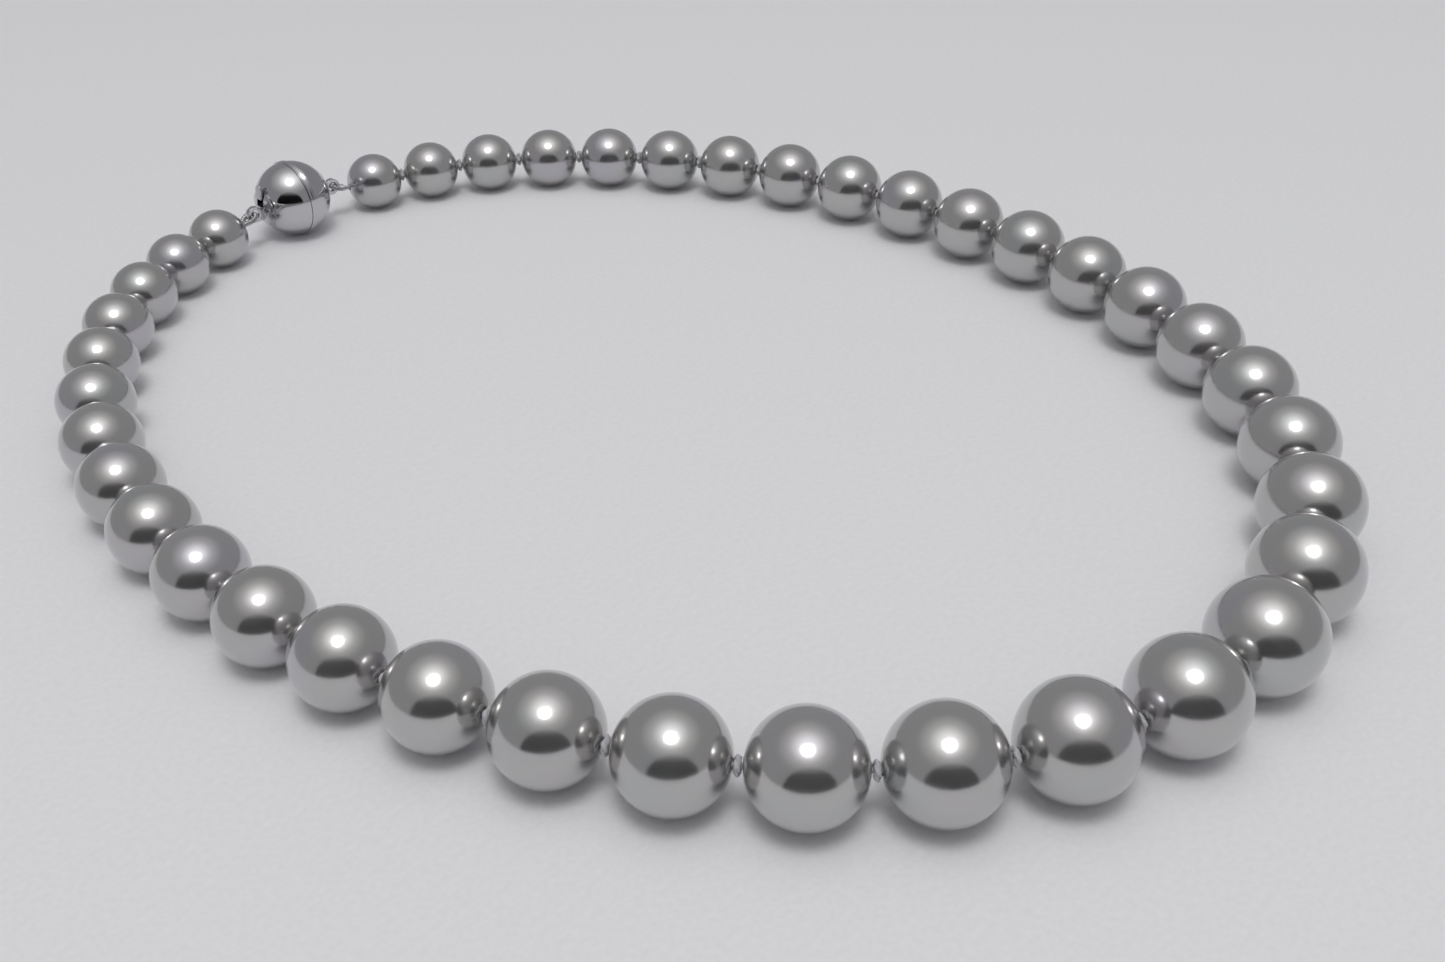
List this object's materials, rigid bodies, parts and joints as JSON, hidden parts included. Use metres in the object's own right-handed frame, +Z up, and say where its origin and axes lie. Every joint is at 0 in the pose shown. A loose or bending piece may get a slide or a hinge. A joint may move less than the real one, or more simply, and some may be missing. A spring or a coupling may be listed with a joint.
{
  "type": "pearl necklace",
  "caption": "Graduated strand of round grey pearls knotted on silk, closed by a round silver clasp with a sprung tongue and thumb release.",
  "frame": {"origin": "centre of the bounding box in plan, on the surface that the necklace lies on", "axes": "+Z up from the surface, -Y towards the largest pearl, +Y towards the clasp, +X towards the side whose end pearl is tied to the ball, -X towards the tongue"},
  "size_m": [0.1238, 0.1594, 0.011],
  "materials": {
    "pearl_nacre": "satin mirror lustre with faint green, rose and lilac overtones",
    "silk": "soft twisted silk",
    "gimp_wire": "fine coiled silver-plated wire",
    "clasp_silver": "polished rhodium-plated silver",
    "clasp_spring": "rolled spring sheet, lightly polished"
  },
  "bodies": {
    "clasp_ball": {"clasp_lug_half": "clasp_silver", "clasp_slot_half": "clasp_silver", "clasp_seam_band": "clasp_silver", "clasp_keeper_plate": "clasp_silver", "clasp_lug": "clasp_silver"},
    "tongue": {"tongue_cap": "clasp_silver", "tongue_lug": "clasp_silver", "tongue_blade": "clasp_spring"},
    "release": {"release_leaf": "clasp_spring", "thumb_tab": "clasp_spring"},
    "link_39": {"pearl_39": "pearl_nacre", "gimp_ball_side": "gimp_wire"},
    "link_38": {"pearl_38": "pearl_nacre"},
    "link_37": {"pearl_37": "pearl_nacre"},
    "link_36": {"pearl_36": "pearl_nacre"},
    "link_35": {"pearl_35": "pearl_nacre"},
    "link_34": {"pearl_34": "pearl_nacre"},
    "link_33": {"pearl_33": "pearl_nacre"},
    "link_32": {"pearl_32": "pearl_nacre"},
    "link_31": {"pearl_31": "pearl_nacre"},
    "link_30": {"pearl_30": "pearl_nacre"},
    "link_29": {"pearl_29": "pearl_nacre"},
    "link_28": {"pearl_28": "pearl_nacre"},
    "link_27": {"pearl_27": "pearl_nacre"},
    "link_26": {"pearl_26": "pearl_nacre"},
    "link_25": {"pearl_25": "pearl_nacre"},
    "link_24": {"pearl_24": "pearl_nacre"},
    "link_23": {"pearl_23": "pearl_nacre"},
    "link_22": {"pearl_22": "pearl_nacre"},
    "link_21": {"pearl_21": "pearl_nacre"},
    "link_20": {"pearl_20": "pearl_nacre", "silk_thread": "silk"},
    "link_19": {"pearl_19": "pearl_nacre"},
    "link_18": {"pearl_18": "pearl_nacre"},
    "link_17": {"pearl_17": "pearl_nacre"},
    "link_16": {"pearl_16": "pearl_nacre"},
    "link_15": {"pearl_15": "pearl_nacre"},
    "link_14": {"pearl_14": "pearl_nacre"},
    "link_13": {"pearl_13": "pearl_nacre"},
    "link_12": {"pearl_12": "pearl_nacre"},
    "link_11": {"pearl_11": "pearl_nacre"},
    "link_10": {"pearl_10": "pearl_nacre"},
    "link_09": {"pearl_09": "pearl_nacre"},
    "link_08": {"pearl_08": "pearl_nacre"},
    "link_07": {"pearl_07": "pearl_nacre"},
    "link_06": {"pearl_06": "pearl_nacre"},
    "link_05": {"pearl_05": "pearl_nacre"},
    "link_04": {"pearl_04": "pearl_nacre"},
    "link_03": {"pearl_03": "pearl_nacre"},
    "link_02": {"pearl_02": "pearl_nacre"},
    "link_01": {"pearl_01": "pearl_nacre", "gimp_tongue_side": "gimp_wire"}
  },
  "joints": [
    {"name": "tongue_slide", "type": "slide", "parent": "clasp_ball", "child": "tongue", "axis": [-1, 0, 0], "range_m": [0, 0.0085], "deforming": ["release_leaf"]},
    {"name": "release_press", "type": "hinge", "parent": "tongue", "child": "release", "pos_m": [0.003, 0.07429, 0.00577], "axis": [0, -1, 0], "range_deg": [0, 7], "stiffness_Nm_per_rad": 0.002, "deforming": ["release_leaf"]},
    {"name": "lug_swing", "type": "hinge", "parent": "clasp_ball", "child": "link_39", "pos_m": [0.00743, 0.07429, 0.00463], "axis": [0, 0, 1], "range_deg": [-30, 30], "deforming": ["gimp_ball_side", "silk_thread"]},
    {"name": "knot_38_tilt", "type": "hinge", "parent": "link_39", "child": "link_38", "pos_m": [0.01751, 0.07187, 0.00404], "axis": [-0.3603, -0.9328, 0], "range_deg": [-35, 35], "deforming": ["silk_thread"]},
    {"name": "knot_37_turn", "type": "hinge", "parent": "link_38", "child": "link_37", "pos_m": [0.02552, 0.06795, 0.00412], "axis": [0, 0, 1], "range_deg": [0, 35], "deforming": ["silk_thread"]},
    {"name": "knot_36_tilt", "type": "hinge", "parent": "link_37", "child": "link_36", "pos_m": [0.03288, 0.06265, 0.0042], "axis": [0.6473, 0.7623, 0], "range_deg": [-35, 35], "deforming": ["silk_thread"]},
    {"name": "knot_35_turn", "type": "hinge", "parent": "link_36", "child": "link_35", "pos_m": [0.03943, 0.05614, 0.00428], "axis": [0, 0, 1], "range_deg": [0, 35], "deforming": ["silk_thread"]},
    {"name": "knot_34_tilt", "type": "hinge", "parent": "link_35", "child": "link_34", "pos_m": [0.04503, 0.04859, 0.00436], "axis": [0.8425, 0.5387, 0], "range_deg": [-35, 35], "deforming": ["silk_thread"]},
    {"name": "knot_33_turn", "type": "hinge", "parent": "link_34", "child": "link_33", "pos_m": [0.04962, 0.0402, 0.00445], "axis": [0, 0, 1], "range_deg": [0, 35], "deforming": ["silk_thread"]},
    {"name": "knot_32_tilt", "type": "hinge", "parent": "link_33", "child": "link_32", "pos_m": [0.05314, 0.03114, 0.00453], "axis": [-0.9522, -0.3054, 0], "range_deg": [-35, 35], "deforming": ["silk_thread"]},
    {"name": "knot_31_turn", "type": "hinge", "parent": "link_32", "child": "link_31", "pos_m": [0.0556, 0.02157, 0.00461], "axis": [0, 0, 1], "range_deg": [0, 35], "deforming": ["silk_thread"]},
    {"name": "knot_30_tilt", "type": "hinge", "parent": "link_31", "child": "link_30", "pos_m": [0.05698, 0.01162, 0.00469], "axis": [-0.9964, -0.0852, 0], "range_deg": [-35, 35], "deforming": ["silk_thread"]},
    {"name": "knot_29_turn", "type": "hinge", "parent": "link_30", "child": "link_29", "pos_m": [0.05732, 0.00141, 0.00477], "axis": [0, 0, 1], "range_deg": [0, 35], "deforming": ["silk_thread"]},
    {"name": "knot_28_tilt", "type": "hinge", "parent": "link_29", "child": "link_28", "pos_m": [0.05662, -0.00894, 0.00485], "axis": [0.9931, -0.1171, 0], "range_deg": [-35, 35], "deforming": ["silk_thread"]},
    {"name": "knot_27_turn", "type": "hinge", "parent": "link_28", "child": "link_27", "pos_m": [0.05487, -0.01932, 0.00493], "axis": [0, 0, 1], "range_deg": [0, 35], "deforming": ["silk_thread"]},
    {"name": "knot_26_tilt", "type": "hinge", "parent": "link_27", "child": "link_26", "pos_m": [0.05204, -0.02964, 0.00501], "axis": [0.948, -0.3181, 0], "range_deg": [-35, 35], "deforming": ["silk_thread"]},
    {"name": "knot_25_turn", "type": "hinge", "parent": "link_26", "child": "link_25", "pos_m": [0.04803, -0.03973, 0.00509], "axis": [0, 0, 1], "range_deg": [0, 35], "deforming": ["silk_thread"]},
    {"name": "knot_24_tilt", "type": "hinge", "parent": "link_25", "child": "link_24", "pos_m": [0.04266, -0.04935, 0.00518], "axis": [-0.8327, 0.5538, 0], "range_deg": [-35, 35], "deforming": ["silk_thread"]},
    {"name": "knot_23_turn", "type": "hinge", "parent": "link_24", "child": "link_23", "pos_m": [0.03577, -0.05816, 0.00526], "axis": [0, 0, 1], "range_deg": [0, 35], "deforming": ["silk_thread"]},
    {"name": "knot_22_tilt", "type": "hinge", "parent": "link_23", "child": "link_22", "pos_m": [0.02724, -0.06564, 0.00534], "axis": [-0.5731, 0.8195, 0], "range_deg": [-35, 35], "deforming": ["silk_thread"]},
    {"name": "knot_21_turn", "type": "hinge", "parent": "link_22", "child": "link_21", "pos_m": [0.01716, -0.07118, 0.00542], "axis": [0, 0, 1], "range_deg": [0, 35], "deforming": ["silk_thread"]},
    {"name": "knot_20_tilt", "type": "hinge", "parent": "link_21", "child": "link_20", "pos_m": [0.00588, -0.07416, 0.0055], "axis": [0.1285, -0.9917, 0], "range_deg": [-35, 35], "deforming": ["silk_thread"]},
    {"name": "knot_19_turn", "type": "hinge", "parent": "link_20", "child": "link_19", "pos_m": [-0.00588, -0.07416, 0.0055], "axis": [0, 0, 1], "range_deg": [0, 35], "deforming": ["silk_thread"]},
    {"name": "knot_18_tilt", "type": "hinge", "parent": "link_19", "child": "link_18", "pos_m": [-0.01716, -0.07118, 0.00542], "axis": [0.3705, 0.9288, 0], "range_deg": [-35, 35], "deforming": ["silk_thread"]},
    {"name": "knot_17_turn", "type": "hinge", "parent": "link_18", "child": "link_17", "pos_m": [-0.02724, -0.06564, 0.00534], "axis": [0, 0, 1], "range_deg": [0, 35], "deforming": ["silk_thread"]},
    {"name": "knot_16_tilt", "type": "hinge", "parent": "link_17", "child": "link_16", "pos_m": [-0.03577, -0.05816, 0.00526], "axis": [-0.7261, -0.6876, 0], "range_deg": [-35, 35], "deforming": ["silk_thread"]},
    {"name": "knot_15_turn", "type": "hinge", "parent": "link_16", "child": "link_15", "pos_m": [-0.04266, -0.04935, 0.00518], "axis": [0, 0, 1], "range_deg": [0, 35], "deforming": ["silk_thread"]},
    {"name": "knot_14_tilt", "type": "hinge", "parent": "link_15", "child": "link_14", "pos_m": [-0.04803, -0.03973, 0.00509], "axis": [-0.903, -0.4297, 0], "range_deg": [-35, 35], "deforming": ["silk_thread"]},
    {"name": "knot_13_turn", "type": "hinge", "parent": "link_14", "child": "link_13", "pos_m": [-0.05204, -0.02964, 0.00501], "axis": [0, 0, 1], "range_deg": [0, 35], "deforming": ["silk_thread"]},
    {"name": "knot_12_tilt", "type": "hinge", "parent": "link_13", "child": "link_12", "pos_m": [-0.05487, -0.01932, 0.00493], "axis": [0.9765, 0.2157, 0], "range_deg": [-35, 35], "deforming": ["silk_thread"]},
    {"name": "knot_11_turn", "type": "hinge", "parent": "link_12", "child": "link_11", "pos_m": [-0.05662, -0.00894, 0.00485], "axis": [0, 0, 1], "range_deg": [0, 35], "deforming": ["silk_thread"]},
    {"name": "knot_10_tilt", "type": "hinge", "parent": "link_11", "child": "link_10", "pos_m": [-0.05732, 0.00141, 0.00477], "axis": [0.9998, 0.0177, 0], "range_deg": [-35, 35], "deforming": ["silk_thread"]},
    {"name": "knot_09_turn", "type": "hinge", "parent": "link_10", "child": "link_09", "pos_m": [-0.05698, 0.01162, 0.00469], "axis": [0, 0, 1], "range_deg": [0, 35], "deforming": ["silk_thread"]},
    {"name": "knot_08_tilt", "type": "hinge", "parent": "link_09", "child": "link_08", "pos_m": [-0.0556, 0.02157, 0.00461], "axis": [-0.9812, 0.193, 0], "range_deg": [-35, 35], "deforming": ["silk_thread"]},
    {"name": "knot_07_turn", "type": "hinge", "parent": "link_08", "child": "link_07", "pos_m": [-0.05314, 0.03114, 0.00453], "axis": [0, 0, 1], "range_deg": [0, 35], "deforming": ["silk_thread"]},
    {"name": "knot_06_tilt", "type": "hinge", "parent": "link_07", "child": "link_06", "pos_m": [-0.04962, 0.0402, 0.00445], "axis": [0.9069, -0.4214, 0], "range_deg": [-35, 35], "deforming": ["silk_thread"]},
    {"name": "knot_05_turn", "type": "hinge", "parent": "link_06", "child": "link_05", "pos_m": [-0.04503, 0.04859, 0.00436], "axis": [0, 0, 1], "range_deg": [0, 35], "deforming": ["silk_thread"]},
    {"name": "knot_04_tilt", "type": "hinge", "parent": "link_05", "child": "link_04", "pos_m": [-0.03943, 0.05614, 0.00428], "axis": [-0.7566, 0.6539, 0], "range_deg": [-35, 35], "deforming": ["silk_thread"]},
    {"name": "knot_03_turn", "type": "hinge", "parent": "link_04", "child": "link_03", "pos_m": [-0.03288, 0.06265, 0.0042], "axis": [0, 0, 1], "range_deg": [0, 35], "deforming": ["silk_thread"]},
    {"name": "knot_02_tilt", "type": "hinge", "parent": "link_03", "child": "link_02", "pos_m": [-0.02552, 0.06795, 0.00412], "axis": [-0.5144, 0.8575, 0], "range_deg": [-35, 35], "deforming": ["silk_thread"]},
    {"name": "knot_01_turn", "type": "hinge", "parent": "link_02", "child": "link_01", "pos_m": [-0.01751, 0.07187, 0.00404], "axis": [0, 0, 1], "range_deg": [0, 35], "deforming": ["silk_thread", "gimp_tongue_side"]}
  ],
  "couplings": [
    {"joint": "knot_19_turn", "follows": "tongue_slide", "rad_per_m": 6.1513},
    {"joint": "knot_11_turn", "follows": "tongue_slide", "rad_per_m": 1.0233}
  ]
}
